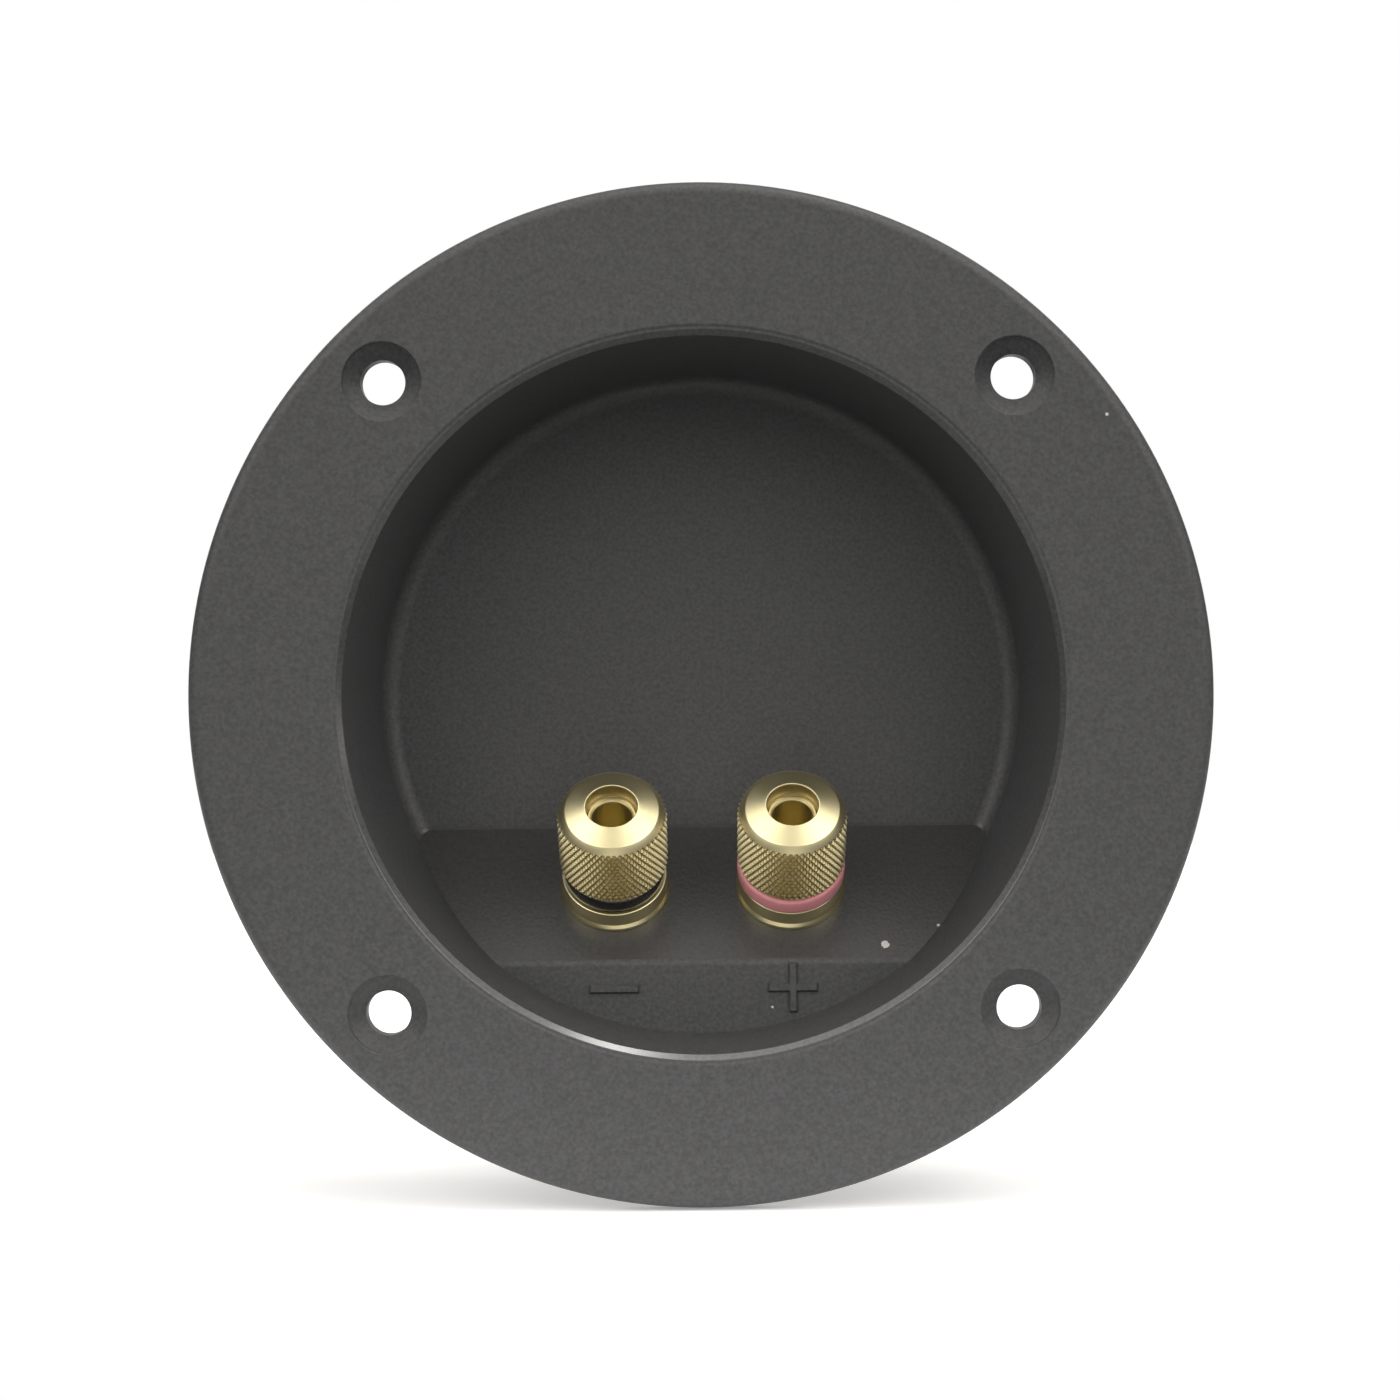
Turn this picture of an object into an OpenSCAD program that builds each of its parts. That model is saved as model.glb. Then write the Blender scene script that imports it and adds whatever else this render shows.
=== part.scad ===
// Round speaker terminal cup with two binding posts.
// It is drawn as seen from the front (x right, y up, z out), with z = 0 on the flange's rear face,
// and then stood up so that the front faces -Y. The origin is the centre of the flange's rear face.

/* [Flange] */
// Outside diameter of the flange
flange_d = 100; // [98:1:112]
// Thickness of the flange
flange_t = 4; // [3:0.5:6]
// Rounding of the flange's front edge
flange_edge_r = 1.2; // [0.4:0.2:2]
// Place of the screw holes across the flange's flat face, from the mouth at 0 to the rim at 1
screw_place = 0.59; // [0.45:0.01:0.65]
// Number of screw holes
screw_count = 4; // [3:1:8]
// Diameter of each screw hole
screw_hole_d = 4.4; // [3.2:0.2:5]
// Diameter of the recess for each screw head
screw_head_d = 7.6; // [6:0.2:8.4]
// Depth of the recess's straight edge
screw_edge_h = 0.6; // [0.3:0.1:1]
// Depth of the cone that seats the screw head
screw_cone_h = 1.1; // [0.6:0.1:1.6]

/* [Cup] */
// Inside diameter of the wall at the mouth
mouth_d = 70; // [66:1:72]
// Width of the stepped lip around the mouth
lip_w = 1; // [0.8:0.1:2]
// Depth of the step in the lip
lip_h = 0.6; // [0.3:0.1:1.5]
// Depth of the floor below the flange's front face
cup_depth = 22; // [20:0.5:25]
// Thickness of the wall, floor, shelf and ledge
wall_t = 2.5; // [2:0.1:3.5]
// Draft of the inside wall, in degrees
draft = 1.5; // [0.5:0.25:3]
// Rounding between the wall and the floor
floor_r = 2.5; // [1:0.25:4]

/* [Shelf] */
// Slope of the post shelf from the floor, in degrees
shelf_angle = 40; // [36:1:48]
// Distance from the cup's axis down to the top of the shelf
shelf_drop = 13.8; // [10:0.2:16]
// Depth of the ledge below the flange's front face
ledge_depth = 11; // [9:0.5:13]
// Rounding of the edge between the shelf and the ledge
shelf_edge_r = 1; // [0.4:0.2:2]

/* [Posts] */
// Distance between the two posts
post_spacing = 18; // [15:0.5:22]
// Distance of the posts up the slope from the shelf's middle
post_rise = 0.9; // [-1:0.1:1.5]
// Diameter of the post's foot
foot_d = 11.2; // [10.6:0.2:12.4]
// Thickness of the post's foot
foot_t = 0.7; // [0.5:0.1:1.4]
// Diameter of the neck between the foot and the knob
neck_d = 10.7; // [8.5:0.1:10.9]
// Height of the knob's seat above the shelf
seat_h = 2.5; // [2:0.1:4]
// Diameter of the stud's thread, taken at its root
stud_d = 5; // [4.9:0.1:5.6]
// Depth of the stud's end below the knob's rim
stud_inset = 1.8; // [1.2:0.1:3]
// Diameter of the plug bore
bore_d = 4.1; // [3.9:0.05:4.3]
// Depth of the plug bore
bore_depth = 10.5; // [8:0.5:11.5]

/* [Knobs] */
// Diameter over the knurl's tips
knob_d = 11; // [10.4:0.2:12.4]
// Height of the knob from its seat to its rim
knob_h = 11; // [10:0.5:14]
// Height of the domed cap
dome_h = 1.1; // [0.9:0.1:2]
// Height of the smooth band under the cap
band_h = 0.8; // [0.4:0.1:1.6]
// Depth of that band below the knurl's tips
band_inset = 0.4; // [0.2:0.05:0.6]
// Rounding of the cap's shoulder
shoulder_r = 0.5; // [0.3:0.1:0.8]
// Number of knurl ridges around the knob
knurl_count = 56; // [32:4:64]
// Depth of the knurl
knurl_depth = 0.3; // [0.15:0.05:0.4]
// Slope of the knurl's ridges from the knob's axis, in degrees
knurl_angle = 30; // [25:1:40]
// Height of the colour ring
ring_h = 1.9; // [1.2:0.1:2.6]
// Outside diameter of the colour ring
ring_d = 11; // [10:0.2:11.4]
// Thickness of the colour ring's wall
ring_wall = 1.3; // [0.8:0.1:1.8]

/* [Back] */
// Diameter of the shank where it passes through the shelf
shank_d = 6.4; // [5.8:0.2:7]
// Distance across the shank's two flats
shank_flats = 5.2; // [4.8:0.1:5.6]
// Diameter of the rear thread, taken at its pitch line
thread_d = 4.5; // [4:0.1:4.8]
// Length of the thread past the nut
thread_end = 1.6; // [1:0.2:3]
// Hole in the flat washer and in the tag
washer_hole_d = 5.3; // [5.1:0.1:5.6]
// Outside diameter of the flat washer
washer_d = 10; // [8.6:0.2:11]
// Thickness of the flat washer
washer_t = 1; // [0.6:0.1:1.4]
// Outside diameter of the tag's ring
tag_d = 9; // [8.4:0.2:10]
// Thickness of the tag
tag_t = 0.6; // [0.4:0.1:1]
// Width of the tag's tail
tag_w = 4.4; // [3.6:0.2:5.6]
// Distance from the post's axis to the bend in the tail
tag_bend_y = 6.5; // [6:0.5:8]
// Length of the tail past the bend
tag_tail = 7.5; // [6:0.5:10]
// Bend of the tail away from the shelf, in degrees
tag_bend = 35; // [0:5:50]
// Diameter of the eye in the tail
tag_eye_d = 2.4; // [1.6:0.2:2.6]
// Outside diameter of the spring washer
lock_d = 8.4; // [7.6:0.2:9]
// Thickness of the spring washer
lock_t = 1.2; // [0.8:0.1:1.6]
// Distance across the nut's flats
nut_af = 8; // [7:0.5:9]
// Thickness of the nut
nut_t = 4; // [2.7:0.1:5]

/* [Hidden] */

$fn = 96;
left = -1;
right = 1;
plastic = "#3d3d3f";
gold = "#d8c27a";
black = "#17171a";
red = "#c5555c";
tinned = "#b9b9b4";
zinc = "#a8abb0";

// Cutting shapes run past the faces that they cut by this much
over = 1;
// Clearance all round a sliding or turning fit, and under the knob at its seat
run_gap = 0.05;
// Clearance of the shank's sides in the shelf's hole
shank_gap = 0.1;
// Small chamfers on turned edges
edge = 0.3;
// Angle of the drill's point at the end of the plug bore
drill_point = 135;
// Flat steps in a bend or a rounded straight edge
arc_steps = 6;

flange_r = flange_d / 2;
mouth_r = mouth_d / 2;
spigot_r = mouth_r + wall_t;
floor_z = flange_t - cup_depth;
rear_z = floor_z - wall_t;
reach = flange_d;

// The lip's section: the wall's top, a flat step, and a slope up to the flange's front face
lip_z = flange_t - lip_h;
lip_slope = 0.45;
wall_top = [mouth_r, lip_z - edge];
lip_in = [mouth_r + edge, lip_z];
lip_foot = [mouth_r + (1 - lip_slope) * lip_w, lip_z];
lip_out = [mouth_r + lip_w, flange_t];

// The screw holes lie on the flat face between the lip and the rounded rim
screw_r = lip_out.x + screw_place * (flange_r - flange_edge_r - lip_out.x);

// The corner's circle touches the drafted wall and the floor
corner_z = floor_z + floor_r;
corner_c = [mouth_r - (wall_top.y - corner_z) * tan(draft) - floor_r / cos(draft), corner_z];
corner_end = corner_c + floor_r * [cos(draft), -sin(draft)];

ledge_z = flange_t - ledge_depth;
ledge_y = -shelf_drop - (ledge_z - floor_z) / tan(shelf_angle);
shelf_y = (ledge_y - shelf_drop) / 2;
shelf_z = (ledge_z + floor_z) / 2;
post_y = shelf_y + post_rise * cos(shelf_angle);
post_z = shelf_z - post_rise * sin(shelf_angle);

// Heights along a post, from the shelf's face
knob_z = seat_h + run_gap;
knob_top = knob_z + knob_h;
stud_top = knob_top - stud_inset;
ring_top = knob_z + ring_h;
barrel_z = ring_top + run_gap;
dome_z = knob_top - dome_h;

// Radii of the knob: the land under the knurl stands between its roots and its tips
tip_r = knob_d / 2;
root_r = tip_r - knurl_depth;
land_r = tip_r - knurl_depth / 2;
core_r = root_r - edge;
band_r = tip_r - band_inset;
knob_bore_r = stud_d / 2 + run_gap;
ring_in_r = ring_d / 2 - ring_wall;
rim_w = 0.2;
rim = [knob_bore_r + rim_w, knob_top];
shoulder_c = [band_r - shoulder_r, dome_z];
rim_away = rim - shoulder_c;
shoulder_a = atan2(rim_away.y, rim_away.x) - acos(shoulder_r / norm(rim_away));
shoulder_end = shoulder_c + shoulder_r * [cos(shoulder_a), sin(shoulder_a)];

// The knurl: a grid of points around the barrel, in turn at the tips and at the roots
land_h = 0.25;
knurl_z0 = barrel_z + land_h + edge;
knurl_z1 = dome_z - band_h;
knurl_cols = 2 * knurl_count;
knurl_step = PI * knob_d / knurl_cols / tan(knurl_angle);
knurl_rows = round((knurl_z1 - knurl_z0) / knurl_step);
knurl_row_h = (knurl_z1 - knurl_z0) / knurl_rows;

// Depths behind the shelf, along a post
shank_l = wall_t - edge;
washer_z = -wall_t - washer_t;
tag_z = washer_z - tag_t;
lock_z = tag_z - lock_t;
nut_z = lock_z - nut_t;
thread_z = nut_z - thread_end;
lock_hole_d = washer_hole_d - 2 * shank_gap;
lock_slit = 0.8;
lock_slant = 30;
nut_r = nut_af / 2 / cos(30);
nut_bevel = 30;

// Turns the front view so that the front faces -Y and up is +Z
module stand_up() {
    rotate([90, 0, 0]) children();
}

// Puts a post's own axes on the shelf: z along the post, y up the slope
module at_post(side) {
    translate([side * post_spacing / 2, post_y, post_z])
        rotate([-shelf_angle, 0, 0])
            children();
}

// Extrudes a side view, drawn with y to the right and z up, across the whole cup
module across() {
    rotate([90, 0, 90])
        linear_extrude(2 * reach, center = true)
            children();
}

// Points along a round corner, from angle a0 to angle a1
function arc(centre, r, a0, a1) =
    [for (k = [0:arc_steps]) let (a = a0 + (a1 - a0) * k / arc_steps) centre + r * [cos(a), sin(a)]];

// Side view of all that lies in front of the shelf and ledge, both moved back by t
module front_of_step(t) {
    low = floor_z - t - over;
    crease = [ledge_y - t * tan(shelf_angle / 2), ledge_z - t];
    foot = [crease.x + (crease.y - low) / tan(shelf_angle), low];
    edge_c = crease - shelf_edge_r * [tan(shelf_angle / 2), 1];
    polygon([
        [reach, low], foot, each arc(edge_c, shelf_edge_r, 90 - shelf_angle, 90),
        [-reach, crease.y], [-reach, reach], [reach, reach]
    ]);
}

// Half section of the flange, with its front edge rounded
module flange_section() {
    edge_c = [flange_r - flange_edge_r, flange_t - flange_edge_r];
    polygon([[0, 0], [flange_r, 0], [flange_r, edge_c.y], edge_c, [edge_c.x, flange_t], [0, flange_t]]);
    translate(edge_c) circle(flange_edge_r);
}

// Half section of the spigot, with its rear edge rounded
module spigot_section() {
    edge_c = [spigot_r - floor_r, rear_z + floor_r];
    polygon([[0, rear_z], [edge_c.x, rear_z], edge_c, [spigot_r, edge_c.y], [spigot_r, over], [0, over]]);
    translate(edge_c) circle(floor_r);
}

// Half section of the hollow, with its stepped lip and its corner rounded
module hollow_section() {
    polygon([
        [0, floor_z], [corner_c.x, floor_z], corner_c, corner_end, wall_top, lip_in, lip_foot, lip_out,
        [lip_out.x, flange_t + over], [0, flange_t + over]
    ]);
    translate(corner_c) circle(floor_r);
}

// One screw hole with the recess for its head
module screw_hole() {
    cone_z = flange_t - screw_edge_h - screw_cone_h;
    translate([0, 0, -over]) cylinder(d = screw_hole_d, h = flange_t + 2 * over);
    translate([0, 0, cone_z]) cylinder(d1 = screw_hole_d, d2 = screw_head_d, h = screw_cone_h);
    translate([0, 0, flange_t - screw_edge_h]) cylinder(d = screw_head_d, h = screw_edge_h + over);
}

// Round section with two flats, which keeps the post from turning
module double_flat(gap) {
    intersection() {
        circle(shank_d / 2 + gap);
        square([shank_flats + 2 * gap, 2 * shank_d], center = true);
    }
}

module cup() {
    color(plastic) stand_up() difference() {
        union() {
            rotate_extrude() flange_section();
            intersection() {
                rotate_extrude() spigot_section();
                across() front_of_step(wall_t);
            }
        }
        intersection() {
            rotate_extrude() hollow_section();
            across() front_of_step(0);
        }
        for (k = [0:screw_count - 1])
            rotate(180 / screw_count + 360 / screw_count * k)
                translate([screw_r, 0, 0])
                    screw_hole();
        for (side = [left, right])
            at_post(side)
                translate([0, 0, -2 * wall_t])
                    linear_extrude(4 * wall_t)
                        double_flat(shank_gap);
    }
}

// Half section of the post's foot, neck and stud
module post_section() {
    foot_r = foot_d / 2;
    neck_r = neck_d / 2;
    stud_r = stud_d / 2;
    polygon([
        [0, 0], [foot_r, 0], [foot_r, foot_t - edge], [foot_r - edge, foot_t], [neck_r, foot_t + edge],
        [neck_r, seat_h - edge], [neck_r - edge, seat_h], [stud_r, seat_h],
        [stud_r, stud_top - edge], [stud_r - edge, stud_top], [0, stud_top]
    ]);
}

module post(side) {
    drill_tip = bore_d / 2 / tan(drill_point / 2);
    bore_z = stud_top - bore_depth;
    color(gold) stand_up() at_post(side) difference() {
        union() {
            rotate_extrude() post_section();
            translate([0, 0, -shank_l]) linear_extrude(shank_l + foot_t / 2) double_flat(0);
            translate([0, 0, thread_z]) cylinder(d = thread_d, h = -thread_z);
        }
        translate([0, 0, bore_z]) cylinder(d = bore_d, h = bore_depth + over);
        translate([0, 0, bore_z - drill_tip]) cylinder(d1 = 0, d2 = bore_d, h = drill_tip);
    }
}

// Half section of the knob without its knurl
module knob_section() {
    spigot = ring_in_r - run_gap;
    polygon([
        [0, knob_z], [spigot, knob_z], [spigot, barrel_z], [land_r - edge, barrel_z],
        [land_r, barrel_z + edge], [land_r, knurl_z0], [core_r, knurl_z0], [core_r, knurl_z1],
        [band_r, knurl_z1], [band_r, dome_z], shoulder_c, shoulder_end, rim, [0, knob_top]
    ]);
    intersection() {
        translate(shoulder_c) circle(shoulder_r);
        translate([0, dome_z]) square([tip_r, dome_h]);
    }
}

// Rings of points up the barrel; the first lies inside the land and the last inside the band
function knurl_z(j) =
    j < 0 ? knurl_z0 - land_h / 2 :
    j > knurl_rows ? knurl_z1 + land_h / 2 :
    knurl_z0 + j * knurl_row_h;
function knurl_r(i, j) =
    j > knurl_rows ? band_r - run_gap :
    j > 0 && j < knurl_rows && (i + j) % 2 == 0 ? tip_r : root_r;
function knurl_point(i, j) =
    let (a = 360 * i / knurl_cols, r = knurl_r(i, j))
    [r * cos(a), r * sin(a), knurl_z(j)];
function knurl_id(i, j) = (j + 1) * knurl_cols + i % knurl_cols;

// Two triangles that meet along the groove between neighbouring roots
function knurl_pair(i, j) =
    let (a = knurl_id(i, j), b = knurl_id(i + 1, j), c = knurl_id(i + 1, j + 1), d = knurl_id(i, j + 1))
    (i + j) % 2 == 0 ? [[a, d, b], [b, d, c]] : [[a, c, b], [a, d, c]];

// Barrel covered with small pyramids, as a diamond knurl leaves it
module knurl_barrel() {
    last = knurl_cols - 1;
    points = [for (j = [-1:knurl_rows + 1], i = [0:last]) knurl_point(i, j)];
    sides = [for (j = [-1:knurl_rows], i = [0:last]) each knurl_pair(i, j)];
    bottom = [for (i = [0:last]) knurl_id(i, -1)];
    top = [for (i = [0:last]) knurl_id(last - i, knurl_rows + 1)];
    polyhedron(points, concat(sides, [bottom, top]));
}

module knob(side) {
    color(gold) stand_up() at_post(side) difference() {
        union() {
            rotate_extrude() knob_section();
            knurl_barrel();
        }
        translate([0, 0, knob_z - over]) cylinder(r = knob_bore_r, h = knob_h + 2 * over);
    }
}

module ring(side, colour) {
    ring_r = ring_d / 2;
    color(colour) stand_up() at_post(side) rotate_extrude()
        polygon([
            [ring_in_r, knob_z], [ring_r - edge, knob_z], [ring_r, knob_z + edge],
            [ring_r, ring_top - edge], [ring_r - edge, ring_top], [ring_in_r, ring_top]
        ]);
}

// Flat ring with its lower face at height z
module flat_ring(z, outer_d, hole_d, t) {
    translate([0, 0, z]) difference() {
        cylinder(d = outer_d, h = t);
        translate([0, 0, -over]) cylinder(d = hole_d, h = t + 2 * over);
    }
}

module washer(side) {
    color(zinc) stand_up() at_post(side) flat_ring(washer_z, washer_d, washer_hole_d, washer_t);
}

// Outline of the tail past its bend, with a round end and the eye
module tag_tail_outline() {
    end_y = tag_tail - tag_w / 2;
    difference() {
        union() {
            translate([-tag_w / 2, 0]) square([tag_w, end_y]);
            translate([0, end_y]) circle(tag_w / 2);
        }
        translate([0, end_y]) circle(tag_eye_d / 2);
    }
}

module solder_tag(side) {
    color(tinned) stand_up() at_post(side) translate([0, 0, tag_z]) {
        difference() {
            union() {
                cylinder(d = tag_d, h = tag_t);
                translate([-tag_w / 2, 0, 0]) cube([tag_w, tag_bend_y, tag_t]);
            }
            translate([0, 0, -over]) cylinder(d = washer_hole_d, h = tag_t + 2 * over);
        }
        translate([0, tag_bend_y, 0]) {
            rotate([-tag_bend, 0, 0]) linear_extrude(tag_t) tag_tail_outline();
            if (tag_bend > 0)
                translate([-tag_w / 2, 0, 0])
                    rotate([90, 0, 90])
                        linear_extrude(tag_w)
                            polygon([[0, 0], each arc([0, 0], tag_t, 90 - tag_bend, 90)]);
        }
    }
}

module lock_washer(side) {
    color(zinc) stand_up() at_post(side) difference() {
        flat_ring(lock_z, lock_d, lock_hole_d, lock_t);
        translate([0, -lock_d / 2, lock_z + lock_t / 2])
            rotate([0, lock_slant, 0])
                cube([lock_slit, lock_d, 3 * lock_t], center = true);
    }
}

// Half section that bevels the nut's corners at both ends
module nut_section() {
    bevel_h = (nut_r - nut_af / 2) * tan(nut_bevel);
    polygon([
        [0, 0], [nut_af / 2, 0], [nut_r, bevel_h],
        [nut_r, nut_t - bevel_h], [nut_af / 2, nut_t], [0, nut_t]
    ]);
}

module nut(side) {
    color(gold) stand_up() at_post(side) translate([0, 0, nut_z]) difference() {
        intersection() {
            cylinder(r = nut_r, h = nut_t, $fn = 6);
            rotate_extrude() nut_section();
        }
        translate([0, 0, -over]) cylinder(d = thread_d + 2 * run_gap, h = nut_t + 2 * over);
    }
}

cup();
post(left);  // negative_post
ring(left, black);  // negative_ring
knob(left);  // negative_knob
washer(left);  // negative_washer
solder_tag(left);  // negative_solder_tag
lock_washer(left);  // negative_lock_washer
nut(left);  // negative_nut
post(right);  // positive_post
ring(right, red);  // positive_ring
knob(right);  // positive_knob
washer(right);  // positive_washer
solder_tag(right);  // positive_solder_tag
lock_washer(right);  // positive_lock_washer
nut(right);  // positive_nut
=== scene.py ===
# %% [markdown]
# # Dressing a speaker terminal
#
# The object is the round panel from the back of a loudspeaker: a dark plastic cup with two gold binding
# posts. Its exact shapes come from CAD and are packed as a frame. In this lesson each piece is made
# again as a fine mesh with a real finish, in the very same place. The first cell loads the frame and
# keeps its box, because the looks may not grow past it.

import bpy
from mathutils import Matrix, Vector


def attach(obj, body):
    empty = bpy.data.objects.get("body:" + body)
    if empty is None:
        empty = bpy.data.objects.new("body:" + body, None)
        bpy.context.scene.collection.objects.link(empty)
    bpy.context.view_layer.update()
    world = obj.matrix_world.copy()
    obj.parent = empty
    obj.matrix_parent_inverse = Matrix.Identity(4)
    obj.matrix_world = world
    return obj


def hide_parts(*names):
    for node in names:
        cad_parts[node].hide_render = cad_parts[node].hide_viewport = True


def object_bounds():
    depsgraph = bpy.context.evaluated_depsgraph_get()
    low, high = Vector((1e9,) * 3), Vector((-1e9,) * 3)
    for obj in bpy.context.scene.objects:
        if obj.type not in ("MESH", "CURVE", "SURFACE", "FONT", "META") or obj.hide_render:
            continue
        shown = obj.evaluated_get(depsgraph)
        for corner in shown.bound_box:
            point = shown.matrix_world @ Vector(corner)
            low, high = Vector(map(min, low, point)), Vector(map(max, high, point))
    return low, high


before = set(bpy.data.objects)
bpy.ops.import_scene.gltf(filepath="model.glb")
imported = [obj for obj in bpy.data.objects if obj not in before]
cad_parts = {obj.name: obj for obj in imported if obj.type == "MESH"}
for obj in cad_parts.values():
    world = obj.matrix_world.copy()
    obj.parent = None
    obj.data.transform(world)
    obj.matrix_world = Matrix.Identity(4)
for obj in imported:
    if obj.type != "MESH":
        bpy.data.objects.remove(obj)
cad_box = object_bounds()
print("box in mm:", [round(1000 * side, 1) for side in cad_box[1] - cad_box[0]])

# %% [markdown]
# ## Two drawings
#
# The cup is easiest to draw as seen from the front: x to the right, y up and z towards the viewer, in
# millimetres, with z = 0 on the flange's rear face. A post stands on a slanted shelf, so it is easiest
# to draw upright on that shelf, with z along its axis. A 4 x 4 matrix then carries each drawing into the
# frame, which is in metres. Working this way keeps every number a plain workshop size.

# %% Carry the drawings into the frame
import math

import bmesh
import bpy
import numpy as np
from mathutils import Matrix, Vector

SHELF_ANGLE = math.radians(40)
SHELF_TOP_Y = -13.8
FLOOR_Z = -18.0
LEDGE_Z = -7.0
LEDGE_Y = SHELF_TOP_Y - (LEDGE_Z - FLOOR_Z) / math.tan(SHELF_ANGLE)
POST_RISE = 0.9
POST_X = 9.0
POST_Y = (SHELF_TOP_Y + LEDGE_Y) / 2 + POST_RISE * math.cos(SHELF_ANGLE)
POST_Z = (FLOOR_Z + LEDGE_Z) / 2 - POST_RISE * math.sin(SHELF_ANGLE)
SIDES = {"negative": -1, "positive": 1}

front_drawing = Matrix.Scale(0.001, 4) @ Matrix.Rotation(math.pi / 2, 4, "X")


def post_on_front(side):
    """Matrix from a post's own drawing to the front drawing."""
    foot = Matrix.Translation((SIDES[side] * POST_X, POST_Y, POST_Z))
    return foot @ Matrix.Rotation(-SHELF_ANGLE, 4, "X")


def post_drawing(side):
    """Matrix from a post's own drawing to the frame."""
    return front_drawing @ post_on_front(side)


print("post foot in mm:", POST_X, round(POST_Y, 3), round(POST_Z, 3))

# %% [markdown]
# ## From a mesh to a piece
#
# Every piece goes through the same last steps. It remembers where each point was on its drawing, in an
# attribute that the finishes read later, so that grain and turning marks are sized in millimetres. Then
# it moves into the frame, gets smooth shading with sharp edges by angle, and rides on its CAD body. A
# Weighted Normal modifier lets the large flat faces decide the shading next to small roundings.

# %% Make an object from a mesh
def place(name, data):
    """An object of this mesh, curve or camera, linked to the scene."""
    thing = bpy.data.objects.new(name, data)
    bpy.context.scene.collection.objects.link(thing)
    return thing


def new_object(name, points, faces):
    """A bare mesh object from points and faces."""
    mesh = bpy.data.meshes.new(name)
    mesh.from_pydata([tuple(p) for p in points], [], faces)
    return place(name, mesh)


def evaluated(thing):
    """A new mesh of an object, as its modifiers or its curve settings leave it."""
    bpy.context.view_layer.update()
    graph = bpy.context.evaluated_depsgraph_get()
    return bpy.data.meshes.new_from_object(thing.evaluated_get(graph))


# %% Settle a piece in the frame
SHARP_EDGE = math.radians(32)
wearing = {}


def settle(piece, drawing, body, slot, *nodes):
    """Places a drawn piece, shades it, ties it to its body and its material slot, and hides its CAD nodes.
    """
    mesh = piece.data
    spots = np.empty(3 * len(mesh.vertices), np.float32)
    mesh.vertices.foreach_get("co", spots)
    mesh.attributes.new("drawing", "FLOAT_VECTOR", "POINT").data.foreach_set("vector", spots)
    mesh.transform(drawing)
    mesh.shade_smooth()
    mesh.set_sharp_from_angle(angle=SHARP_EDGE)
    piece.modifiers.new("even_normals", "WEIGHTED_NORMAL").keep_sharp = True
    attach(piece, body)
    if nodes:
        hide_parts(*nodes)
    wearing.setdefault(slot, []).append(piece)
    print(f"{piece.name}: {len(mesh.vertices)} points, {len(mesh.polygons)} faces")
    return piece


print("edges are sharp from", round(math.degrees(SHARP_EDGE)), "degrees")

# %% [markdown]
# ## Rings in a stack
#
# Most of the pieces are turned or moulded round, so one helper makes nearly all of them. A ring is a row
# of points round the z axis, and a stack of rings gets a skin of faces. Blender's Spin tool could turn a
# profile as well, but in a stack the radius may change from point to point, and that is what a knurl,
# a thread, a hexagon or a pair of flats needs. Rings may also differ in their number of points, so the
# fine ones stay where the detail is.

# %% Rings and profiles
def turns(columns):
    """Angles of the columns round the axis."""
    return np.arange(columns) * (2 * np.pi / columns)


def ring(radius, height, columns):
    """Points round the axis. The radius is one number, or one for each column."""
    turn = turns(columns)
    radius = np.broadcast_to(radius, columns)
    return np.stack([radius * np.cos(turn), radius * np.sin(turn), np.full(columns, height)], axis=1)


def rings(profile, columns):
    """A ring for each (radius, height) of a profile. A radius of 0 gives a single point."""
    return [ring(r, z, columns) if r > 0 else np.array([[0.0, 0.0, z]]) for r, z in profile]


def arc(centre, radius, start, end, steps=8):
    """Points of a rounded corner on a profile, by angles in degrees."""
    sweep = np.radians(np.linspace(start, end, steps + 1))
    return [(centre[0] + radius * math.cos(t), centre[1] + radius * math.sin(t)) for t in sweep]


print("corner of 1 mm:", [(round(x, 2), round(y, 2)) for x, y in arc((0, 0), 1, 0, 90, 2)])

# %% Skin a stack of rings
def band(low, high, fold=None):
    """Faces between two rings of point numbers. A fold says which diagonal splits each square."""
    if len(low) == 1:
        return [(low[0], high[(i + 1) % len(high)], high[i]) for i in range(len(high))]
    if len(high) == 1:
        return [(low[i], low[(i + 1) % len(low)], high[0]) for i in range(len(low))]
    steps = min(len(low), len(high))
    a, b = len(low) // steps, len(high) // steps
    faces = []
    for i in range(steps):
        lower = [low[k % len(low)] for k in range(i * a, i * a + a + 1)]
        upper = [high[k % len(high)] for k in range(i * b, i * b + b + 1)]
        if fold is None:
            faces.append(tuple(lower + upper[::-1]))
        elif fold[i]:
            faces += [(lower[0], lower[1], upper[1]), (lower[0], upper[1], upper[0])]
        else:
            faces += [(lower[0], lower[1], upper[0]), (lower[1], upper[1], upper[0])]
    return faces


def skin(stack, loop=False, folds=None):
    """Points and faces of a stack of rings, which a loop joins from the last ring to the first."""
    first = np.cumsum([0] + [len(r) for r in stack])
    numbers = [list(range(first[k], first[k + 1])) for k in range(len(stack))]
    faces = []
    for k in range(len(stack) if loop else len(stack) - 1):
        faces += band(numbers[k], numbers[(k + 1) % len(stack)], (folds or {}).get(k))
    return np.concatenate(stack), faces


print("ring of 8 points, skinned:", len(skin(rings([(0, 0), (1, 0), (1, 1), (0, 1)], 8))[1]), "faces")

# %% [markdown]
# ## The cup
#
# The cup is one moulding: a flange with four screw recesses, a low lip with a chamfer round the mouth, a
# wall that narrows inwards so that it leaves its mould, a flat floor, and a step that carries the posts.
# Wall, lip and flange are one closed profile, so their roundings run on without a seam. The chamfer is
# small, but it catches the light as a thin bright line, so it is drawn and not left to a bump.

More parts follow.
